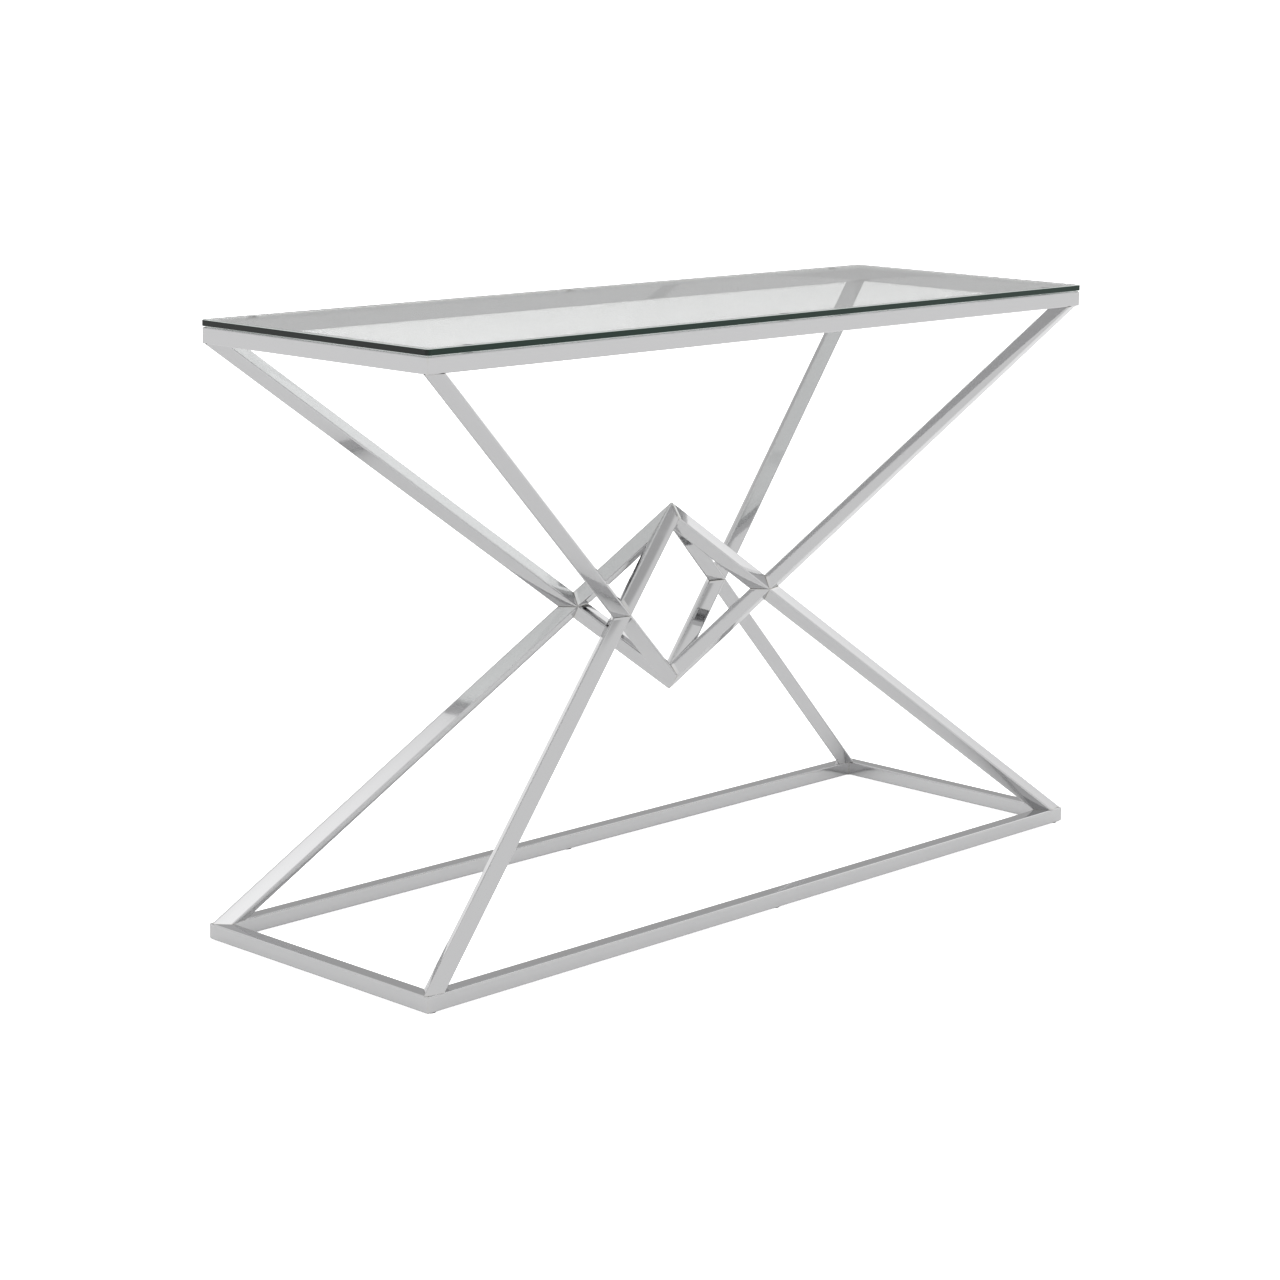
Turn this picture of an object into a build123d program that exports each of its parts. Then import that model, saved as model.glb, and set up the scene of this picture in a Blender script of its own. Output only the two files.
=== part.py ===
# Console table: a clear glass pane on a welded frame of square tube.
#
# Two equal rectangles of tube, one under the glass and one on the floor, are joined by legs that slope
# from their corners towards the table's middle. The upper legs aim at a point below mid-height and the
# lower legs at a point above it, so they cross at four places at mid-height. Past the crossings the
# tubes carry on as struts to those two points, and the struts form a diamond.
#
# Units are millimetres. The origin is the centre of the footprint on the floor, +X runs along the
# table, +Y to the back and +Z up.
import os
from math import atan2, degrees, hypot, sqrt

from build123d import *

# Driving dimensions ---------------------------------------------------------------------------------
LENGTH = 1200.0            # overall, along X: the glass
DEPTH = 400.0              # overall, along Y: the glass
HEIGHT = 760.0             # floor to the top of the glass

GLASS_THICKNESS = 8.0
GLASS_OVERHANG = 1.0       # how far the glass stands out past the frame, on each side
GLASS_CORNER_RADIUS = 5.0
GLASS_EDGE_CHAMFER = 0.8   # the polished bevel along the glass edge

TUBE = 20.0                # outside width of the square tube
WALL = 1.2                 # thickness of the tube's wall
TUBE_RADIUS = 2.0          # outside corner radius of the tube's section
FRAME_CORNER_RADIUS = 2.0  # upright corners of the two rectangles, polished round
END_CLOSURE = 2.0          # steel that closes a leg's bore where it meets a rectangle
LEG_INSET = 0.0            # from the rectangle's outer faces in to the leg's section

DIAMOND_HALF_HEIGHT = 107.0  # mid-height to each point of the diamond, on the tubes' centre lines

PAD_DIAMETER = 12.0        # clear pads between the glass and the top rectangle
PAD_THICKNESS = 1.0
PAD_END_DISTANCE = 70.0    # from the end of the table to the pads nearest to it
PAD_EDGE_RADIUS = 0.2

GLIDE_DIAMETER = 15.0      # floor glides under the base rectangle
GLIDE_THICKNESS = 1.5
GLIDE_END_DISTANCE = 12.0  # from the rectangle's end to the centre of a corner glide
GLIDE_EDGE_RADIUS = 0.3

# Worked out from them -------------------------------------------------------------------------------
FRAME_LENGTH = LENGTH - 2 * GLASS_OVERHANG
FRAME_DEPTH = DEPTH - 2 * GLASS_OVERHANG
HALF_LENGTH = FRAME_LENGTH / 2
HALF_DEPTH = FRAME_DEPTH / 2

GLASS_BOTTOM = HEIGHT - GLASS_THICKNESS
TOP_FRAME_TOP = GLASS_BOTTOM - PAD_THICKNESS
TOP_FRAME_BOTTOM = TOP_FRAME_TOP - TUBE
BASE_FRAME_BOTTOM = GLIDE_THICKNESS
BASE_FRAME_TOP = BASE_FRAME_BOTTOM + TUBE
MID_HEIGHT = (TOP_FRAME_BOTTOM + BASE_FRAME_TOP) / 2
LEG_RISE = TOP_FRAME_BOTTOM - MID_HEIGHT + DIAMOND_HALF_HEIGHT

ENDS = {"left": -1, "right": 1}
SIDES = {"front": -1, "back": 1}
CORNERS = [(side, end) for side in SIDES for end in ENDS]


def leg_foot():
    """Where a leg's centre line meets its rectangle, as x and y in the quarter where both are positive.

    The tube stands on edge: one corner of its square section points up and one down. Cut level, the
    section is a rhombus whose long diagonal points at the table's middle. The foot is placed so that
    the rhombus touches the lines of the rectangle's two outer faces. Its direction depends on the foot,
    so the sum is repeated until it settles.
    """
    half_diagonal = TUBE / sqrt(2) - TUBE_RADIUS * (sqrt(2) - 1)
    x, y = HALF_LENGTH, HALF_DEPTH
    for _ in range(20):
        run = hypot(x, y)
        along = half_diagonal * hypot(run, LEG_RISE) / LEG_RISE
        reach_x = max(along * x, half_diagonal * y) / run
        reach_y = max(along * y, half_diagonal * x) / run
        x = HALF_LENGTH - LEG_INSET - reach_x
        y = HALF_DEPTH - LEG_INSET - reach_y
    return x, y


FOOT_X, FOOT_Y = leg_foot()
FOOT_RUN = hypot(FOOT_X, FOOT_Y)
CROSSING_SHARE = DIAMOND_HALF_HEIGHT / LEG_RISE   # of the foot's distance from the middle
CUT_MARGIN = 3 * TUBE                             # spare length on a tube before its ends are cut

os.makedirs("parts", exist_ok=True)


def save(part, name):
    """Label a finished piece and write its file."""
    part.label = name
    export_step(part, f"parts/{name}.step")
    print(f"{name:24s} {part.volume:12.1f} mm3  {len(part.solids())} solid")


def facing(origin, normal):
    """A cutting plane: what lies on the side that the normal points to is kept."""
    return Plane(origin=origin, z_dir=normal)


def square_tube(start, end, level, roll, cuts, bore_cuts):
    """A length of square tube from start to end, cut to its planes.

    level is a level direction across the tube, roll turns the section from it in degrees, and the bore
    has its own cutting planes, because it stops short of an end that is closed.
    """
    start, end = Vector(*start), Vector(*end)
    axis = (end - start).normalized()
    length = (end - start).length + 2 * CUT_MARGIN
    section = Plane(origin=start - axis * CUT_MARGIN, x_dir=level, z_dir=axis)

    with BuildPart() as bore:
        with BuildSketch(section):
            RectangleRounded(TUBE - 2 * WALL, TUBE - 2 * WALL, TUBE_RADIUS - WALL, rotation=roll)
        extrude(amount=length)
        for plane in bore_cuts:
            split(bisect_by=plane, keep=Keep.TOP)

    with BuildPart() as tube:
        with BuildSketch(section):
            RectangleRounded(TUBE, TUBE, TUBE_RADIUS, rotation=roll)
        extrude(amount=length)
        for plane in cuts:
            split(bisect_by=plane, keep=Keep.TOP)
        add(bore.part, mode=Mode.SUBTRACT)
    return tube.part


def rail(along_x, half_turn, bottom):
    """One mitred rail of a rectangle: the back or the right one, or turned half round, its opposite."""
    middle = bottom + TUBE / 2
    if along_x:
        y = HALF_DEPTH - TUBE / 2
        start, end = (-HALF_LENGTH, y, middle), (HALF_LENGTH, y, middle)
        mitres = [
            facing((-HALF_LENGTH, HALF_DEPTH, middle), (1, 1, 0)),
            facing((HALF_LENGTH, HALF_DEPTH, middle), (-1, 1, 0)),
        ]
    else:
        x = HALF_LENGTH - TUBE / 2
        start, end = (x, -HALF_DEPTH, middle), (x, HALF_DEPTH, middle)
        mitres = [
            facing((HALF_LENGTH, -HALF_DEPTH, middle), (1, 1, 0)),
            facing((HALF_LENGTH, HALF_DEPTH, middle), (1, -1, 0)),
        ]
    with BuildPart() as blank:
        add(square_tube(start, end, (0, 0, 1), 0, mitres, mitres))
        with BuildSketch(Plane.XY.offset(bottom)):
            RectangleRounded(FRAME_LENGTH, FRAME_DEPTH, FRAME_CORNER_RADIUS)
        extrude(amount=TUBE, mode=Mode.INTERSECT)
    with BuildPart() as finished:
        add(blank.part, rotation=(0, 0, 180 if half_turn else 0))
    return finished.part


def corner_tube(side, end, upper, leg):
    """A leg (leg=True) or a diamond strut of the corner at side and end.

    An upper leg and a lower strut lie on one line, which runs from the top rectangle down to the
    diamond's lower point. A lower leg and an upper strut lie on the mirror image of that line. At the
    crossing the four tubes are mitred on the level plane at mid-height and on the upright plane
    across the crossing. At a point of the diamond the four struts are mitred on the planes x=0 and y=0.
    """
    sx, sy = ENDS[end], SIDES[side]
    outward = Vector(sx * FOOT_X, sy * FOOT_Y, 0).normalized()
    level = Vector(-outward.Y, outward.X, 0)
    above = 1 if upper else -1
    out = 1 if leg else -1
    frame_face = TOP_FRAME_BOTTOM if upper else BASE_FRAME_TOP
    point = MID_HEIGHT + (-above if leg else above) * DIAMOND_HALF_HEIGHT

    crossing = Vector(sx * FOOT_X, sy * FOOT_Y, 0) * CROSSING_SHARE + Vector(0, 0, MID_HEIGHT)
    at_crossing = [facing(crossing, (0, 0, above)), facing(crossing, outward * out)]
    if leg:
        start = Vector(sx * FOOT_X, sy * FOOT_Y, frame_face)
        at_frame = [facing((0, 0, frame_face), (0, 0, -above))]
        bore_end = [facing((0, 0, frame_face - above * END_CLOSURE), (0, 0, -above))]
        return square_tube(start, crossing, level, 45, at_crossing + at_frame, at_crossing + bore_end)
    start = Vector(0, 0, point)
    at_point = [facing((0, 0, 0), (sx, 0, 0)), facing((0, 0, 0), (0, sy, 0))]
    return square_tube(start, crossing, level, 45, at_crossing + at_point, at_crossing + at_point)


def disc(x, y, bottom, diameter, thickness, edge_radius, eased_rim):
    """A round pad with one rim eased: eased_rim is 0 for the underside's and -1 for the top's."""
    with BuildPart() as pad:
        with BuildSketch(Plane.XY.offset(bottom)):
            with Locations((x, y)):
                Circle(diameter / 2)
        extrude(amount=thickness)
        rim = pad.edges().filter_by(GeomType.CIRCLE).group_by(Axis.Z)[eased_rim]
        fillet(rim, radius=edge_radius)
    return pad.part


# The glass pane: rounded corners and a polished bevel round both faces ------------------------------
with BuildPart() as glass_top:
    with BuildSketch(Plane.XY.offset(GLASS_BOTTOM)):
        RectangleRounded(LENGTH, DEPTH, GLASS_CORNER_RADIUS)
    extrude(amount=GLASS_THICKNESS)
    faces_top_and_bottom = glass_top.faces().filter_by(Axis.Z)
    chamfer(faces_top_and_bottom.edges(), length=GLASS_EDGE_CHAMFER)
save(glass_top.part, "glass_top")

# The two rectangles ---------------------------------------------------------------------------------
for name, sign in [*SIDES.items(), *ENDS.items()]:
    save(rail(name in SIDES, sign < 0, TOP_FRAME_BOTTOM), f"top_rail_{name}")
    save(rail(name in SIDES, sign < 0, BASE_FRAME_BOTTOM), f"base_rail_{name}")

# The legs and the diamond ---------------------------------------------------------------------------
for side, end in CORNERS:
    save(corner_tube(side, end, upper=True, leg=True), f"upper_leg_{side}_{end}")
    save(corner_tube(side, end, upper=False, leg=True), f"lower_leg_{side}_{end}")
    save(corner_tube(side, end, upper=True, leg=False), f"upper_strut_{side}_{end}")
    save(corner_tube(side, end, upper=False, leg=False), f"lower_strut_{side}_{end}")

# Clear pads on the front and back rails of the top rectangle, and glides under the base -------------
PAD_X = {"left": PAD_END_DISTANCE - LENGTH / 2, "middle": 0.0, "right": LENGTH / 2 - PAD_END_DISTANCE}
GLIDE_X = {"left": GLIDE_END_DISTANCE - HALF_LENGTH, "middle": 0.0, "right": HALF_LENGTH - GLIDE_END_DISTANCE}
for side, sign in SIDES.items():
    rail_line = sign * (HALF_DEPTH - TUBE / 2)
    for place, x in PAD_X.items():
        pad = disc(x, rail_line, TOP_FRAME_TOP, PAD_DIAMETER, PAD_THICKNESS, PAD_EDGE_RADIUS, -1)
        save(pad, f"glass_pad_{side}_{place}")
    for place, x in GLIDE_X.items():
        glide = disc(x, rail_line, 0.0, GLIDE_DIAMETER, GLIDE_THICKNESS, GLIDE_EDGE_RADIUS, 0)
        save(glide, f"floor_glide_{side}_{place}")

slope = degrees(atan2(LEG_RISE, FOOT_RUN))
print(f"leg foot at x={FOOT_X:.1f} y={FOOT_Y:.1f}, slope {slope:.1f} degrees, mid-height {MID_HEIGHT:.2f}")
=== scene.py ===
# %% [markdown]
# A console table: a clear glass pane on a welded frame of mirror-polished square tube. This lesson
# builds the table's looks round its packed engineering model, one piece and one finish at a time.
# The engineering model is the fixed frame. It says where every piece is, how large it is and which
# of the two bodies it moves with. The new pieces are surfaces worked out with numpy in that frame.

# %% Load the engineering model
import math

import bpy
import numpy as np
from mathutils import Matrix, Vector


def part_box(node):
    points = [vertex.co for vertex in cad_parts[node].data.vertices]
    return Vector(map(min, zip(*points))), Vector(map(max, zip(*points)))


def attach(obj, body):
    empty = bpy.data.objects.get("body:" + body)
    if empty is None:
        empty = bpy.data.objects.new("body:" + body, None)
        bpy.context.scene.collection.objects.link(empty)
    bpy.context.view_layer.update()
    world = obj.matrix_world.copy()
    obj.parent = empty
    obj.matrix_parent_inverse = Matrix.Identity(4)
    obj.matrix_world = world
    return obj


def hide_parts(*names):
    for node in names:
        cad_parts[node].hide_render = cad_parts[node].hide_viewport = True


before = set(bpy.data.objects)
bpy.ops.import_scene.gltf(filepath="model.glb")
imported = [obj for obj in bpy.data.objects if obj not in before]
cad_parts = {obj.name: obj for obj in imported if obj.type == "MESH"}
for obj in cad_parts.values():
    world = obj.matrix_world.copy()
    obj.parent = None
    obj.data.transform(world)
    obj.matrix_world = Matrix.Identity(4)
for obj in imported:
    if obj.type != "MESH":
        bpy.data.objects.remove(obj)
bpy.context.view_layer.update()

# %% [markdown]
# The sizes of the table come from the model. The tube is as wide as a rail is high, and the rails'
# outer faces give the two rectangles. A leg's tube stands on edge, so that its level section is a
# rhombus, and the rhombus touches the lines of both outer faces. The foot of the leg and the height
# of the diamond depend on each other, so both are found by repeating the sum until it settles.

# %% Sizes read from the model, in metres
MM = 0.001
TUBE_RADIUS = 2.0 * MM          # outside corner radius of the tube and of the rectangles
FRAME_CORNER_RADIUS = 2.0 * MM

rail_low, rail_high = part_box("top_rail_back")
TUBE = rail_high.z - rail_low.z
HALF_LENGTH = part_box("top_rail_right")[1].x
HALF_DEPTH = rail_high.y
TOP_FRAME_BOTTOM = rail_low.z
BASE_FRAME_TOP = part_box("base_rail_back")[1].z
BASE_FRAME_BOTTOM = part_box("base_rail_back")[0].z
MID_HEIGHT = (TOP_FRAME_BOTTOM + BASE_FRAME_TOP) / 2
DIAMOND_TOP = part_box("upper_strut_back_right")[1].z
HALF_DIAGONAL = TUBE / math.sqrt(2) - TUBE_RADIUS * (math.sqrt(2) - 1)

SETTLING_ROUNDS = 60
foot_x, foot_y, diamond = HALF_LENGTH, HALF_DEPTH, DIAMOND_TOP - MID_HEIGHT
for _ in range(SETTLING_ROUNDS):
    rise = TOP_FRAME_BOTTOM - MID_HEIGHT + diamond
    run = math.hypot(foot_x, foot_y)
    slant = math.hypot(run, rise)
    along = HALF_DIAGONAL * slant / rise
    reach_x = max(along * foot_x, HALF_DIAGONAL * foot_y) / run
    reach_y = max(along * foot_y, HALF_DIAGONAL * foot_x) / run
    foot_x, foot_y = HALF_LENGTH - reach_x, HALF_DEPTH - reach_y
    diamond = DIAMOND_TOP - MID_HEIGHT - HALF_DIAGONAL * slant / run
print(f"leg foot at {foot_x / MM:.1f}, {foot_y / MM:.1f} mm, diamond's half height {diamond / MM:.1f} mm")

# %% [markdown]
# Every surface here is a grid: rings of points round the piece, one ring after another along it.
# The helper below turns such a grid into a closed mesh. Each corner of each face gets the exact
# normal from the formula, because a mirror shows the smallest error of a shaded normal. The two ends
# are closed by fans of triangles round a middle point. A UV map holds the distance round the ring
# and the distance along the piece, in metres, for the patterns that follow the surface.
# Where rings run together, as on the inside of a corner, their points are welded into one, so that no
# face is left without area.

# %% From rings to a closed mesh
WELD = 0.001 * MM               # points closer than this are one point


def rings_to_mesh(name, rings, normals, around, along, start_middle, end_middle, to_seam=None):
    """A closed mesh from rings of points.

    rings and normals are arrays [ring, point, 3], around [point + 1] is the distance round a ring,
    and along [ring, point] the distance along the piece. Point j of ring i joins point j + 1 and
    ring i + 1. The first and last rings are closed by triangles to the two middle points. to_seam
    [ring, point], where a piece has it, is stored on the points: the distance from the nearer weld.
    """
    count, size = rings.shape[:2]
    index = np.arange(count * size).reshape(count, size)
    after = np.roll(index, -1, axis=1)
    quads = np.stack([index[:-1], after[:-1], after[1:], index[1:]], axis=-1).reshape(-1, 4)
    column = np.tile(np.arange(size), count - 1)
    u = np.stack([around[column], around[column + 1], around[column + 1], around[column]], axis=-1)
    v = along.reshape(-1)[quads]
    points = np.concatenate([rings.reshape(-1, 3), [start_middle, end_middle]])

    # A fan triangle is written as a quad whose last two corners are the middle point.
    to_start, to_end = np.full(size, count * size), np.full(size, count * size + 1)
    fans = np.concatenate([
        np.stack([after[0], index[0], to_start, to_start], axis=-1),
        np.stack([index[-1], after[-1], to_end, to_end], axis=-1),
    ])
    corner = points[quads]
    area = np.cross(corner[:, 2] - corner[:, 0], corner[:, 3] - corner[:, 1])
    outward = np.sign((area * normals.reshape(-1, 3)[quads].sum(axis=1)).sum())
    corner = points[fans]
    flat = outward * np.cross(corner[:, 1] - corner[:, 0], corner[:, 2] - corner[:, 0])
    flat /= np.maximum(np.linalg.norm(flat, axis=1, keepdims=True), 1e-12)

    faces = np.concatenate([quads, fans])
    face_normals = np.concatenate([normals.reshape(-1, 3)[quads], np.repeat(flat[:, None], 4, axis=1)])
    face_uv = np.concatenate([np.stack([u, v], axis=-1), (corner - points.mean(axis=0))[:, :, :2]])
    if outward < 0:
        faces, face_normals, face_uv = faces[:, ::-1], face_normals[:, ::-1], face_uv[:, ::-1]

    # Points in one place become one point. A corner that repeats the next one goes, and so does a
    # face with fewer than three corners left.
    _, first, welded = np.unique(np.round(points / WELD), axis=0, return_index=True, return_inverse=True)
    faces = welded.reshape(-1)[faces]
    kept = faces != np.roll(faces, -1, axis=1)
    kept &= kept.sum(axis=1, keepdims=True) > 2
    sizes = kept.sum(axis=1)
    ends = np.cumsum(sizes[sizes > 0])[:-1]

    mesh = bpy.data.meshes.new(name)
    mesh.from_pydata(points[first], [], [face.tolist() for face in np.split(faces[kept], ends)])
    mesh.uv_layers.new(name="surface").data.foreach_set("uv", face_uv[kept].astype(np.float32).ravel())
    mesh.polygons.foreach_set("use_smooth", np.ones(len(mesh.polygons), bool))
    if to_seam is not None:
        values = np.concatenate([to_seam.ravel(), [0.0, 0.0]])[first].astype(np.float32)
        mesh.attributes.new("to_seam", "FLOAT", "POINT").data.foreach_set("value", values)
    mesh.normals_split_custom_set(face_normals[kept].tolist())
    mesh.update()
    piece = bpy.data.objects.new(name, mesh)
    bpy.context.scene.collection.objects.link(piece)
    return piece


def place(piece, material, body, node):
    """Dress a finished piece, ride it on its body and let it stand for its CAD node."""
    piece.data.materials.append(material)
    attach(piece, body)
    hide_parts(node)
    low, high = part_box(node)
    corners = np.array([v.co for v in piece.data.vertices])
    gap = max(np.abs(corners.min(axis=0) - low).max(), np.abs(corners.max(axis=0) - high).max())
    print(f"{piece.name:28s} {len(piece.data.polygons):6d} faces, within {gap / MM:.2f} mm of {node}")
    return piece


# %% [markdown]
# Shader sums are easier to read as Python. The class below wraps one socket of a material's node
# tree, and plus, minus, times and so on add the Math nodes. Colours go through Mix, and any other
# node comes from one method.

# %% Shader sums as Python expressions
class Field:
    """One value that changes over the surface: an output socket, with operators that add nodes."""

    def __init__(self, tree, socket):
        self.tree, self.socket = tree, socket

    def node(self, kind, settings=None, inputs=None, output=0):
        """Add a node: settings are set first, then inputs as values or Fields by name or number."""
        made = self.tree.nodes.new(kind)
        for key, value in (settings or {}).items():
            setattr(made, key, value)
        for key, value in (inputs or {}).items():
            if isinstance(value, Field):
                self.tree.links.new(value.socket, made.inputs[key])
            else:
                made.inputs[key].default_value = value
        return Field(self.tree, made.outputs[output])

    def math(self, operation, *values):
        return self.node("ShaderNodeMath", {"operation": operation}, dict(enumerate(values)))

    def __add__(self, other):
        return self.math("ADD", self, other)

    def __radd__(self, other):
        return self.math("ADD", other, self)

    def __sub__(self, other):
        return self.math("SUBTRACT", self, other)

    def __rsub__(self, other):
        return self.math("SUBTRACT", other, self)

    def __mul__(self, other):
        return self.math("MULTIPLY", self, other)

    def __rmul__(self, other):
        return self.math("MULTIPLY", other, self)

    def step(self, low, high, first=0.0, last=1.0):
        """Run smoothly from first to last as this value goes from low to high."""
        settings = {"interpolation_type": "SMOOTHSTEP"}
        inputs = {"Value": self, "From Min": low, "From Max": high, "To Min": first, "To Max": last}
        return self.node("ShaderNodeMapRange", settings, inputs)

    def blend(self, first, second):
        """A colour between first and second, with this value as the share of the second."""
        settings = {"data_type": "RGBA", "clamp_factor": True}
        return self.node("ShaderNodeMix", settings, {"Factor": self, 6: first, 7: second}, output=2)

    def stretch(self, scale, offset=(0.0, 0.0, 0.0)):
        return self.node("ShaderNodeMapping", {}, {"Vector": self, "Scale": scale, "Location": offset})

    def noise(self, scale, detail=2.0, roughness=0.5):
        inputs = {"Vector": self, "Scale": scale, "Detail": detail, "Roughness": roughness}
        return self.node("ShaderNodeTexNoise", {}, inputs)


def new_material(name, **constants):
    """A material with one Principled shader: returns it, the shader and a Field to start sums from."""
    material = bpy.data.materials.new(name)
    material.use_nodes = True
    tree = material.node_tree
    shader = tree.nodes["Principled BSDF"]
    for key, value in constants.items():
        shader.inputs[key.replace("_", " ")].default_value = value
    return material, shader, Field(tree, None)


def feed(shader, **fields):
    """Link Fields to the shader's sockets."""
    for key, field in fields.items():
        field.tree.links.new(field.socket, shader.inputs[key.replace("_", " ")])


# %% [markdown]
# The frame is stainless steel, welded, ground flush and polished to a mirror. A mirror has no
# colour of its own to speak of: it sends back a little over half of what it sees. What makes it read
# as steel is what disturbs the mirror. The wall of a drawn tube is never quite flat, so it carries a
# long faint wave. The polishing mop leaves hair lines along the tube, and hands leave soft smudges.
# Next to a weld the steel keeps a trace of straw colour. Along the groove of a seam the base colour is
# darkened, which is painted shade. All of these are faint.

# %% Mirror-polished stainless steel
STEEL = (0.565, 0.565, 0.57, 1.0)
STEEL_STRAW = (0.565, 0.55, 0.52, 1.0)
# The seam colour is painted shade: it darkens the groove between two rounded cut ends.
STEEL_SEAM_SHADE = (0.12, 0.12, 0.12, 1.0)
WELD_TINT_REACH = 4.0 * MM      # how far from a weld the straw colour fades out
SEAM_SHADE_REACH = 0.3 * MM           # half the width of the painted shade along a seam's groove
MIRROR_ROUGHNESS = 0.035

steel, shader, field = new_material("polished_stainless_steel", Metallic=1.0)
place_in_space = field.node("ShaderNodeTexCoord", output=3)
on_surface = field.node("ShaderNodeUVMap", {"uv_map": "surface"})
to_seam = field.node("ShaderNodeAttribute", {"attribute_name": "to_seam"}, output=2)
hair_lines = on_surface.stretch((2600.0, 45.0, 1.0)).noise(1.0, 3.0, 0.6)
smudges = place_in_space.noise(16.0, 4.0, 0.55).step(0.52, 0.72)
wave = place_in_space.noise(26.0, 1.0, 0.4)
cloudy = place_in_space.noise(90.0).step(0.3, 0.6)
weld_tint = to_seam.step(0.5 * MM, WELD_TINT_REACH, 1.0, 0.0) * cloudy * 0.5
# Painted shade: the base colour turns dark grey within a fraction of a millimetre of a seam.
seam_shade = to_seam.step(0.02 * MM, SEAM_SHADE_REACH, 1.0, 0.0)
surface_height = wave + hair_lines * 0.02
bump = field.node("ShaderNodeBump", {}, {"Strength": 0.25, "Distance": 0.03 * MM, "Height": surface_height})
feed(
    shader,
    Base_Color=seam_shade.blend(weld_tint.blend(STEEL, STEEL_STRAW), STEEL_SEAM_SHADE),
    Roughness=MIRROR_ROUGHNESS + hair_lines * 0.02 + smudges * 0.035,
    Normal=bump,
)
print("steel:", len(steel.node_tree.nodes), "nodes")

# %% [markdown]
# A square tube has small round corners. Its section is four quarter circles joined by flats. A
# drawn and mopped flat swells by a few hundredths of a millimetre, which is too little to see as a
# shape but widens what the mirror reflects. So the mesh keeps its flats flat, and only the normals
# turn, by two degrees or so across a flat and through the rest of a right angle at each corner.
# Moving the section inwards only shortens the radius of the quarter circles, which makes the rounded
# rim of a cut end easy: the rim is a quarter circle too, from the side of the tube to the cut.

# %% The tube's section and the rounded rim of a cut
CORNER_STEPS = 10
RIM_STEPS = 4
CROWN = math.radians(0.9)       # how far a flat's normal leans towards each corner
JOINT_RIM = 0.7 * MM            # rounding of the cut ends that meet at the crossings and the diamond
DRESSED = 4.5 * MM              # width each side of a weld that is ground back before polishing
DRESSED_FALL = math.radians(2.2)
FLUSH_RIM = 0.15 * MM           # the mitres and the legs' feet are ground nearly flush
FLUSH = 0.4 * MM                # added to the distance from a flush joint, which leaves no groove


def tube_section(roll):
    """Corner centres, spokes from them, outward normals and distance round the section.

    Corner k's arc has its centre at c = width / 2 - radius from both flats, and its points run
    from k to k + 1 quarter turns. The normals run through the same turn less the crown at each
    end, so they go on turning across the flats. Everything is turned by the roll.
    """
    turn = np.linspace(0.0, 0.5 * np.pi, CORNER_STEPS + 1)
    angle = (np.arange(4)[:, None] * 0.5 * np.pi + turn[None, :]).ravel() + roll
    lean = np.tile(CROWN * np.cos(2.0 * turn), 4)
    toward = np.repeat(np.arange(4) * 0.5 * np.pi + 0.25 * np.pi, CORNER_STEPS + 1) + roll
    offset = (TUBE / 2 - TUBE_RADIUS) * math.sqrt(2)
    centres = offset * np.stack([np.cos(toward), np.sin(toward)], axis=-1)
    spokes = np.stack([np.cos(angle), np.sin(angle)], axis=-1)
    normals = np.stack([np.cos(angle + lean), np.sin(angle + lean)], axis=-1)
    points = centres + TUBE_RADIUS * spokes
    steps = np.linalg.norm(np.roll(points, -1, axis=0) - points, axis=1)
    return centres, spokes, normals, np.concatenate([[0.0], np.cumsum(steps)])


def rim(radius, dressed=0.0):
    """How far in and how far back each row of a rim is, and its normal's angle towards the cut.

    The rim is a quarter circle. Where a weld is dressed, the side first falls by a small angle
    over the dressed width, and starts to fall within a fifth of a millimetre.
    """
    angle = np.linspace(0.0, 0.5 * np.pi, RIM_STEPS + 1)
    inward, back = radius * (1 - np.cos(angle)), radius * (1 - np.sin(angle))
    if dressed:
        sunk = (dressed - radius) * math.tan(DRESSED_FALL)
        inward = np.concatenate([[0.0, 0.0], inward + sunk])
        back = np.concatenate([[dressed + 0.2 * MM, dressed], back])
        angle = np.concatenate([[0.0, DRESSED_FALL], np.maximum(angle, DRESSED_FALL)])
    return inward, back, angle


# %% [markdown]
# A leg or strut is the section carried along a straight line. Each point of the section runs along
# the line until it meets the first of the cutting planes at that end. One plane gives a flat cut, as
# where a leg stands on a rail. Two planes give a pointed cut, as where four tubes meet at a crossing.

# %% A straight tube between cutting planes
def reach(points, axis, planes, nearest):
    """How far along the axis each point meets the first plane: (c - p) . n / (a . n)."""
    found = [((centre - points) @ normal) / (axis @ normal) for centre, normal in planes]
    return nearest(np.array(found), axis=0)


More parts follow.
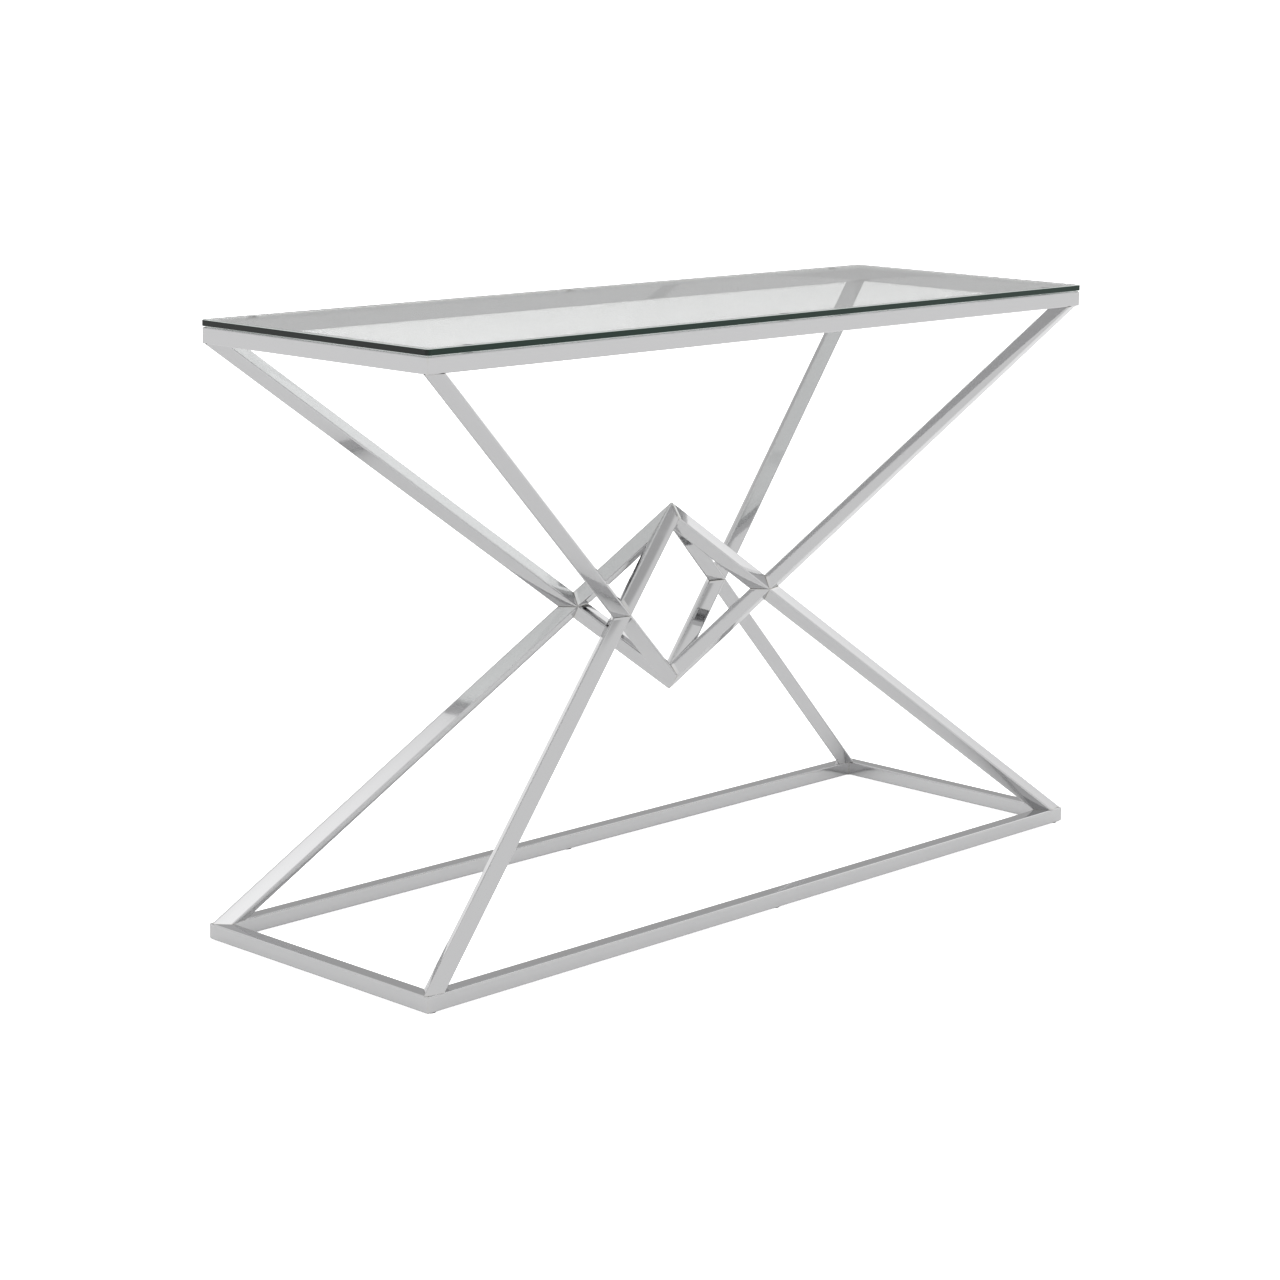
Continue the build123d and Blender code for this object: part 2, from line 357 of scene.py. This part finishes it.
def straight_tube(name, start, end, level, start_planes, end_planes, flush_start, roll):
    """A tube on edge from start to end, rolled by a small angle. level is level and across it."""
    axis = end - start
    length = np.linalg.norm(axis)
    axis = axis / length
    across = np.cross(axis, level)
    centres, spokes, normals, around = tube_section(0.25 * np.pi + roll)
    basis = np.array([level, across])
    normal = normals @ basis

    rings, ring_normals, seam = [], [], []
    for planes, nearest, sign in ((start_planes, np.max, -1), (end_planes, np.min, 1)):
        flush = flush_start and sign < 0
        inward, back, angle = rim(FLUSH_RIM) if flush else rim(JOINT_RIM, DRESSED)
        order = slice(None, None, -1) if sign < 0 else slice(None)
        for far_in, far_back, turn in list(zip(inward, back, angle))[order]:
            outline = start + (centres + (TUBE_RADIUS - far_in) * spokes) @ basis
            distance = reach(outline, axis, planes, nearest) - sign * far_back
            rings.append(outline + distance[:, None] * axis)
            ring_normals.append(math.cos(turn) * normal + math.sin(turn) * sign * axis)
            seam.append(np.full(len(outline), far_back + (FLUSH if flush else 0.0)))
        if sign < 0:
            outline = start + (centres + TUBE_RADIUS * spokes) @ basis
            rings.append(outline + 0.5 * length * axis)
            ring_normals.append(normal)
            seam.append(np.full(len(outline), 0.5 * length))
    rings, ring_normals, seam = np.array(rings), np.array(ring_normals), np.array(seam)
    along = (rings - start) @ axis
    middles = [
        start + axis * reach(start[None, :], axis, planes, nearest)
        for planes, nearest in ((start_planes, np.max), (end_planes, np.min))
    ]
    return rings_to_mesh(name, rings, ring_normals, around, along, *middles, seam)


# %% [markdown]
# The upper legs run from the top rectangle down past mid-height, and the lower legs run up past it.
# Where two of them meet they are cut on the level plane at mid-height and on the upright plane across
# the meeting point, and they carry on as the struts of the diamond. The struts meet on the two
# upright planes through the middle of the table. One leg, and the strut that carries it on, is rolled
# about itself by a degree or so, as a tube set by hand may be.

# %% Legs and struts
CORNERS = {
    "front_left": (-1, -1), "front_right": (1, -1), "back_left": (-1, 1), "back_right": (1, 1),
}
UP = np.array([0.0, 0.0, 1.0])
MIDDLE = np.array([0.0, 0.0, MID_HEIGHT])

ROLL = {("upper", "front_right"): math.radians(-1.4)}   # by the half and corner of the leg

for corner, (side_x, side_y) in CORNERS.items():
    foot = np.array([side_x * foot_x, side_y * foot_y, 0.0])
    outward = foot / np.linalg.norm(foot)
    level = np.cross(UP, outward)
    crossing = foot * diamond / rise + MIDDLE
    at_crossing = [(crossing, UP), (crossing, outward)]
    at_point = [(MIDDLE, np.array([1.0, 0.0, 0.0])), (MIDDLE, np.array([0.0, 1.0, 0.0]))]
    for half, above, rail_face in (("upper", 1, TOP_FRAME_BOTTOM), ("lower", -1, BASE_FRAME_TOP)):
        foot_end = foot + rail_face * UP
        at_rail = [(foot_end, UP)]
        leg_name, strut_name = f"{half}_leg_{corner}_tube", f"{half}_strut_{corner}_tube"
        roll = ROLL.get((half, corner), 0.0)
        leg = straight_tube(leg_name, foot_end, crossing, level, at_rail, at_crossing, True, roll)
        place(leg, steel, "frame", f"{half}_leg_{corner}")
        point = MIDDLE + above * diamond * UP
        other = "lower" if half == "upper" else "upper"
        roll = -ROLL.get((other, corner), 0.0)
        strut = straight_tube(strut_name, point, crossing, level, at_point, at_crossing, False, roll)
        place(strut, steel, "frame", f"{half}_strut_{corner}")

# %% [markdown]
# A rail lies flat in its rectangle, with mitred ends. The upright corners of the rectangle are
# polished round, so each rail's outer face turns through an eighth of a circle before it meets its
# neighbour. Seen from above, a line at depth d behind the outer face turns with a radius of R - d, and
# a line deeper than R has a sharp corner.

# %% Rails
TURN_STEPS = 5


def rail(name, outward, half, half_other, bottom):
    """A rail whose outer face looks outward, at half_other from the table's middle, 2 * half long."""
    outward = np.array([*outward, 0.0])
    forward = np.cross(outward, UP)
    centres, spokes, normals, around = tube_section(0.0)
    inward, back, angle = rim(FLUSH_RIM)
    turns = np.linspace(0.0, 0.25 * np.pi, TURN_STEPS + 1)
    stations = [(turn, 0.0, 0.0, 0.0) for turn in turns[:-1]]
    stations += [(turns[-1], far_in, far_back, lean) for far_in, far_back, lean in zip(inward, back, angle)]

    ends = []
    for turn, far_in, far_back, lean in stations:
        outline = centres + (TUBE_RADIUS - far_in) * spokes
        depth, height = TUBE / 2 - outline[:, 0], TUBE / 2 + outline[:, 1]
        middle = np.maximum(depth, FRAME_CORNER_RADIUS)
        radius = np.maximum(FRAME_CORNER_RADIUS - depth, 0.0)
        from_end = middle - radius * math.sin(turn) + far_back
        from_face = middle - radius * math.cos(turn)
        swing = np.where(depth < FRAME_CORNER_RADIUS, turn, 0.0)
        end_part = normals[:, 0] * np.sin(swing) * math.cos(lean) + math.sin(lean)
        face_part = normals[:, 0] * np.cos(swing) * math.cos(lean)
        ends.append((from_end, from_face, height, end_part, face_part, normals[:, 1] * math.cos(lean)))

    rings, ring_normals, seam = [], [], []
    for sign, order in ((-1, ends[::-1]), (1, ends)):
        for from_end, from_face, height, end_part, face_part, up_part in order:
            position = np.outer(sign * (half - from_end), forward)
            position += np.outer(half_other - from_face, outward) + np.outer(bottom + height, UP)
            direction = np.outer(sign * end_part, forward) + np.outer(face_part, outward)
            direction += np.outer(up_part, UP)
            rings.append(position)
            ring_normals.append(direction / np.linalg.norm(direction, axis=1, keepdims=True))
            seam.append(np.maximum(from_end - from_face, 0.0) + FLUSH)
        if sign < 0:
            from_end, from_face, height, _, _, _ = ends[0]
            position = np.outer(half_other - from_face, outward) + np.outer(bottom + height, UP)
            rings.append(position)
            ring_normals.append(np.outer(normals[:, 0], outward) + np.outer(normals[:, 1], UP))
            seam.append(np.full(len(position), half))
    rings, ring_normals = np.array(rings), np.array(ring_normals)
    along = rings @ forward
    centre = (half_other - TUBE / 2) * outward + (bottom + TUBE / 2) * UP
    middles = [centre + sign * (half - TUBE / 2) * forward for sign in (-1, 1)]
    return rings_to_mesh(name, rings, ring_normals, around, along, *middles, np.array(seam))


RAILS = {
    "front": ((0, -1), HALF_LENGTH, HALF_DEPTH), "back": ((0, 1), HALF_LENGTH, HALF_DEPTH),
    "left": ((-1, 0), HALF_DEPTH, HALF_LENGTH), "right": ((1, 0), HALF_DEPTH, HALF_LENGTH),
}
for where, (outward, half, half_other) in RAILS.items():
    for level_name, bottom in (("top", TOP_FRAME_BOTTOM), ("base", BASE_FRAME_BOTTOM)):
        made = rail(f"{level_name}_rail_{where}_tube", outward, half, half_other, bottom)
        place(made, steel, "frame", f"{level_name}_rail_{where}")

# %% [markdown]
# The pane is 8 mm float glass. Seen through its faces it is clear with a breath of grey. Seen into
# its polished edge it is nearly black with a green cast, because that light has travelled the width
# of the pane inside the glass, and the iron in the glass has taken it. So the faces and the edge are
# two finishes on one closed mesh. The arrises are only ground, so they are thin light lines.

# %% Clear glass and its dark edge
ACROSS_THE_DEPTH = (0.003, 0.016, 0.010, 1.0)     # the long edges, seen into over the pane's depth
ALONG_THE_LENGTH = (0.004, 0.006, 0.005, 1.0)     # the short edges, seen into over its length
GROUND_ARRIS = (0.62, 0.68, 0.65, 1.0)

clear, _, _ = new_material(
    "clear_glass", Base_Color=(0.885, 0.9, 0.893, 1.0), Roughness=0.0, IOR=1.52,
    Transmission_Weight=1.0, Specular_IOR_Level=0.5,
)
edge, shader, field = new_material("polished_glass_edge", IOR=1.52, Specular_IOR_Level=0.28)
place_in_space = field.node("ShaderNodeTexCoord", output=3)
facing = field.node("ShaderNodeNewGeometry", output=1)
facing_x = field.node("ShaderNodeSeparateXYZ", {}, {0: facing})
facing_z = field.node("ShaderNodeSeparateXYZ", {}, {0: facing}, output=2)
at_end = facing_x.math("ABSOLUTE", facing_x).step(0.3, 0.9)
on_arris = facing_z.math("ABSOLUTE", facing_z).step(0.25, 0.5)
grind = place_in_space.stretch((30.0, 30.0, 900.0)).noise(1.0, 2.0)
inside_glass = at_end.blend(ACROSS_THE_DEPTH, ALONG_THE_LENGTH)
feed(
    shader,
    Base_Color=on_arris.blend(inside_glass, GROUND_ARRIS),
    Roughness=0.05 + grind * 0.05 + on_arris * 0.3,
)

# %% [markdown]
# The pane's outline is a rectangle with small round corners. Moving the outline inwards shortens
# the corner radius, as on the tube. The profile across the edge starts on the upper face, rolls over
# the upper arris, runs down the polished edge and rolls under to the lower face.

# %% The glass pane
GLASS_CORNER_RADIUS = 5.0 * MM
GLASS_CORNER_STEPS = 12
ARRIS = 0.8 * MM
ARRIS_STEPS = 4
EDGE_SLOT = 1


def glass_pane(name):
    """The closed pane: rings of the outline moved in by the profile's inset, at the profile's height."""
    low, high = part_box("glass_top")
    half_x, half_y = high.x, high.y
    turn = np.linspace(0.0, 0.5 * np.pi, GLASS_CORNER_STEPS + 1)
    angle = (np.arange(4)[:, None] * 0.5 * np.pi + turn[None, :]).ravel()
    outward = np.stack([np.cos(angle), np.sin(angle), np.zeros_like(angle)], axis=-1)
    quarter = np.repeat(np.arange(4), GLASS_CORNER_STEPS + 1)
    sign_x = np.where((quarter == 0) | (quarter == 3), 1.0, -1.0)
    sign_y = np.where(quarter < 2, 1.0, -1.0)
    centres = np.stack([
        sign_x * (half_x - GLASS_CORNER_RADIUS), sign_y * (half_y - GLASS_CORNER_RADIUS), 0 * angle,
    ], axis=-1)

    roll = np.linspace(0.0, 0.5 * np.pi, ARRIS_STEPS + 1)
    inset = ARRIS * (1 - np.sin(roll))
    drop = ARRIS * (1 - np.cos(roll))
    upper = list(zip(inset, high.z - drop, roll, np.ones(len(roll))))
    lower = list(zip(inset, low.z + drop, roll, -np.ones(len(roll))))
    rings, normals = [], []
    for far_in, height, turn_down, side in upper + lower[::-1]:
        rings.append(centres + (GLASS_CORNER_RADIUS - far_in) * outward + height * UP)
        normals.append(math.sin(turn_down) * outward + math.cos(turn_down) * side * UP)
    rings, normals = np.array(rings), np.array(normals)
    outline = np.linalg.norm(np.roll(rings[0], -1, axis=0) - rings[0], axis=1)
    around = np.concatenate([[0.0], np.cumsum(outline)])
    along = np.repeat(rings[:, :1, 2], rings.shape[1], axis=1)
    return rings_to_mesh(name, rings, normals, around, along, high.z * UP, low.z * UP)


pane = glass_pane("glass_pane")
place(pane, clear, "glass", "glass_top")
pane.data.materials.append(edge)
edge_faces = np.array([len(face.vertices) == 4 for face in pane.data.polygons], dtype=np.int32)
pane.data.polygons.foreach_set("material_index", edge_faces * EDGE_SLOT)

# %% [markdown]
# Small clear pads of soft plastic keep the pane off the steel, and black plastic glides keep the
# steel off the floor. Both are turned shapes: a profile carried round an upright axis.

# %% Soft clear plastic and black moulded plastic
soft_clear, shader, field = new_material(
    "soft_clear_plastic", Base_Color=(0.93, 0.94, 0.93, 1.0), IOR=1.45, Transmission_Weight=0.85,
)
place_in_space = field.node("ShaderNodeTexCoord", output=3)
feed(shader, Roughness=0.18 + place_in_space.noise(900.0, 2.0) * 0.12)

black_plastic, shader, field = new_material("black_moulded_plastic", IOR=1.5, Specular_IOR_Level=0.4)
place_in_space = field.node("ShaderNodeTexCoord", output=3)
grain = place_in_space.noise(2500.0, 2.0)
feed(
    shader,
    Base_Color=grain.blend((0.018, 0.018, 0.019, 1.0), (0.035, 0.035, 0.036, 1.0)),
    Roughness=0.42 + place_in_space.noise(700.0) * 0.2,
    Normal=field.node("ShaderNodeBump", {}, {"Strength": 0.4, "Distance": 0.03 * MM, "Height": grain}),
)

# %% [markdown]
# A turned pad: the profile runs from the middle of one face over the rim to the middle of the
# other. Both faces are flat, because each is pressed between two flat things.

# %% Pads and glides
DISC_POINTS = 72
DISC_RIM_STEPS = 5
PAD_RIM = 0.35 * MM
GLIDE_RIM = 0.5 * MM


def turned_disc(name, node, rim_radius):
    """A disc in the CAD node's box: rings of the profile's radius at the profile's height."""
    low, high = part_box(node)
    radius = (high.x - low.x) / 2
    centre = np.array([(low.x + high.x) / 2, (low.y + high.y) / 2, 0.0])
    angle = np.linspace(0.0, 2 * np.pi, DISC_POINTS, endpoint=False)
    spoke = np.stack([np.cos(angle), np.sin(angle), 0 * angle], axis=-1)
    roll = np.linspace(0.0, 0.5 * np.pi, DISC_RIM_STEPS + 1)
    rings, normals = [], []
    for side, edge_height, order in ((1, high.z, roll), (-1, low.z, roll[::-1])):
        for turn in order:
            at = radius - rim_radius * (1 - math.sin(turn))
            height = edge_height - side * rim_radius * (1 - math.cos(turn))
            rings.append(centre + at * spoke + height * UP)
            normals.append(math.sin(turn) * spoke + math.cos(turn) * side * UP)
    rings, normals = np.array(rings), np.array(normals)
    around = radius * np.linspace(0.0, 2 * np.pi, DISC_POINTS + 1)
    along = np.repeat(rings[:, :1, 2], DISC_POINTS, axis=1)
    return rings_to_mesh(name, rings, normals, around, along, centre + high.z * UP, centre + low.z * UP)


for side in ("front", "back"):
    for spot in ("left", "middle", "right"):
        pad = turned_disc(f"glass_pad_{side}_{spot}_disc", f"glass_pad_{side}_{spot}", PAD_RIM)
        place(pad, soft_clear, "frame", f"glass_pad_{side}_{spot}")
        glide = turned_disc(f"floor_glide_{side}_{spot}_disc", f"floor_glide_{side}_{spot}", GLIDE_RIM)
        place(glide, black_plastic, "frame", f"floor_glide_{side}_{spot}")

# %% [markdown]
# The studio is white and evenly lit, and the floor and sky are brighter to the eye than the steel
# shows them. That isn't how light behaves by itself: a light path tells apart what is seen straight,
# or through clear glass, from what is seen in a reflection, and each gets its own brightness.

# %% Seen straight or in a mirror
def seen_straight(field):
    """1 for what is seen with no bounce off a surface before it, else 0."""
    glossy = field.node("ShaderNodeLightPath", output="Glossy Depth")
    diffuse = field.node("ShaderNodeLightPath", output="Diffuse Depth")
    bounces = glossy + diffuse
    return bounces.math("LESS_THAN", bounces, 0.5)


# %% [markdown]
# The floor is plain and pale. It is a wide disc, so that the polished frame sees floor wherever
# it looks down.

# %% Floor
FLOOR_RADIUS = 25.0
FLOOR_SEEN = 0.75               # light the floor adds where it is seen straight
FLOOR_EVERYWHERE = 0.13
POOL_PLACE = (1.7, 0.1, 0.0)    # a soft pool of light on the floor to the right of the table
POOL_EDGE = (0.5, 1.3)          # where the pool starts to fade, and where it ends
POOL_LIGHT = 0.12
floor_paint, shader, field = new_material(
    "pale_floor", Roughness=0.9, Specular_IOR_Level=0.0, Emission_Strength=1.0,
)
place_in_space = field.node("ShaderNodeTexCoord", output=3)
mottle = place_in_space.noise(1.5, 3.0)
from_pool = field.node(
    "ShaderNodeVectorMath", {"operation": "DISTANCE"}, {0: place_in_space, 1: POOL_PLACE}, output=1,
)
pool_of_light = from_pool.step(*POOL_EDGE, 1.0, 0.0)
feed(
    shader,
    Base_Color=mottle.blend((0.93, 0.93, 0.93, 1.0), (0.95, 0.95, 0.95, 1.0)),
    Emission_Color=seen_straight(field) * FLOOR_SEEN + FLOOR_EVERYWHERE + pool_of_light * POOL_LIGHT,
)
bpy.ops.mesh.primitive_circle_add(vertices=128, radius=FLOOR_RADIUS, fill_type="NGON")
floor = bpy.context.object
floor.name = "studio_floor"
floor.data.materials.append(floor_paint)

# %% [markdown]
# Polished steel shows the room more than it shows itself, so the room is the real lighting. It is a
# white studio. Behind the table the room is darker above the floor's far edge, which draws the tops
# of the base rails and greys the pane. A wide soft light stands on the right, a smaller one hangs
# high on the left, and high at the front right there is a small gap in the white. The room is painted
# as a function of direction: each light is a soft round patch about its own direction.

# %% The studio
world = bpy.data.worlds.new("white_studio")
bpy.context.scene.world = world
world.use_nodes = True
room = Field(world.node_tree, None)
direction = room.node("ShaderNodeTexCoord", output=0)


def toward(azimuth, elevation):
    """The unit vector at an azimuth from +X towards +Y and an elevation, both in degrees."""
    a, e = math.radians(azimuth), math.radians(elevation)
    return (math.cos(a) * math.cos(e), math.sin(a) * math.cos(e), math.sin(e))


def patch(azimuth, elevation, radius, soft):
    """1 inside a round patch of the given angular radius, 0 outside it, and a soft rim in degrees."""
    dot = room.node(
        "ShaderNodeVectorMath", {"operation": "DOT_PRODUCT"},
        {0: direction, 1: toward(azimuth, elevation)}, output=1,
    )
    angle = dot.math("ARCCOSINE", dot.math("MINIMUM", dot, 1.0)) * math.degrees(1.0)
    return angle.step(radius, radius + soft, 1.0, 0.0)


OPEN_SIDE, RIGHT_LIGHT, LEFT_LIGHT, GAP, SKY_SEEN = 0.95, 0.5, 0.55, 0.38, 1.7

height = room.node("ShaderNodeSeparateXYZ", {}, {0: direction}, output=2)
dark_side = height.step(-0.03, 0.10, 1.0, 0.5) + height.step(0.32, 0.75, 0.0, 0.45)
behind = patch(azimuth=48.0, elevation=0.0, radius=38.0, soft=24.0)
walls = OPEN_SIDE * (1.0 - behind) + dark_side * behind
right_light = patch(azimuth=-9.0, elevation=32.0, radius=3.0, soft=22.0) * RIGHT_LIGHT
left_light = patch(azimuth=-155.0, elevation=49.0, radius=0.0, soft=11.0) * LEFT_LIGHT
gap = patch(azimuth=-55.2, elevation=45.8, radius=1.5, soft=0.6) * GAP
brightness = walls + right_light + left_light - gap
straight = seen_straight(room)
shown = brightness * (1.0 - straight) + straight * SKY_SEEN
background = world.node_tree.nodes["Background"]
world.node_tree.links.new(shown.socket, background.inputs["Strength"])
background.inputs["Color"].default_value = (1.0, 1.0, 1.0, 1.0)
print("studio:", len(world.node_tree.nodes), "nodes")

# %% [markdown]
# The camera stands to the left of the front, a little above the glass, with a long lens.

# %% Camera
CAMERA_PLACE = (-2.8516, -2.7123, 1.1514)
CAMERA_YAW, CAMERA_PITCH, CAMERA_ROLL = 47.046, 9.58, -0.845    # degrees
SENSOR_MM, LENS_MM = 36.0, 86.991
CAMERA_SHIFT = (-0.05, -0.10)
camera_data = bpy.data.cameras.new("camera")
camera_data.sensor_width = SENSOR_MM
camera_data.lens = LENS_MM
camera_data.shift_x, camera_data.shift_y = CAMERA_SHIFT
camera_data.clip_start, camera_data.clip_end = 0.05, 100.0
camera = bpy.data.objects.new("camera", camera_data)
bpy.context.scene.collection.objects.link(camera)
yaw, pitch, roll = (math.radians(a) for a in (CAMERA_YAW, CAMERA_PITCH, CAMERA_ROLL))
turned = Matrix.Rotation(-yaw, 4, "Z") @ Matrix.Rotation(0.5 * math.pi - pitch, 4, "X")
turned = turned @ Matrix.Rotation(-roll, 4, "Z")
camera.matrix_world = Matrix.Translation(CAMERA_PLACE) @ turned
bpy.context.scene.camera = camera
bpy.context.scene.view_settings.view_transform = "Standard"
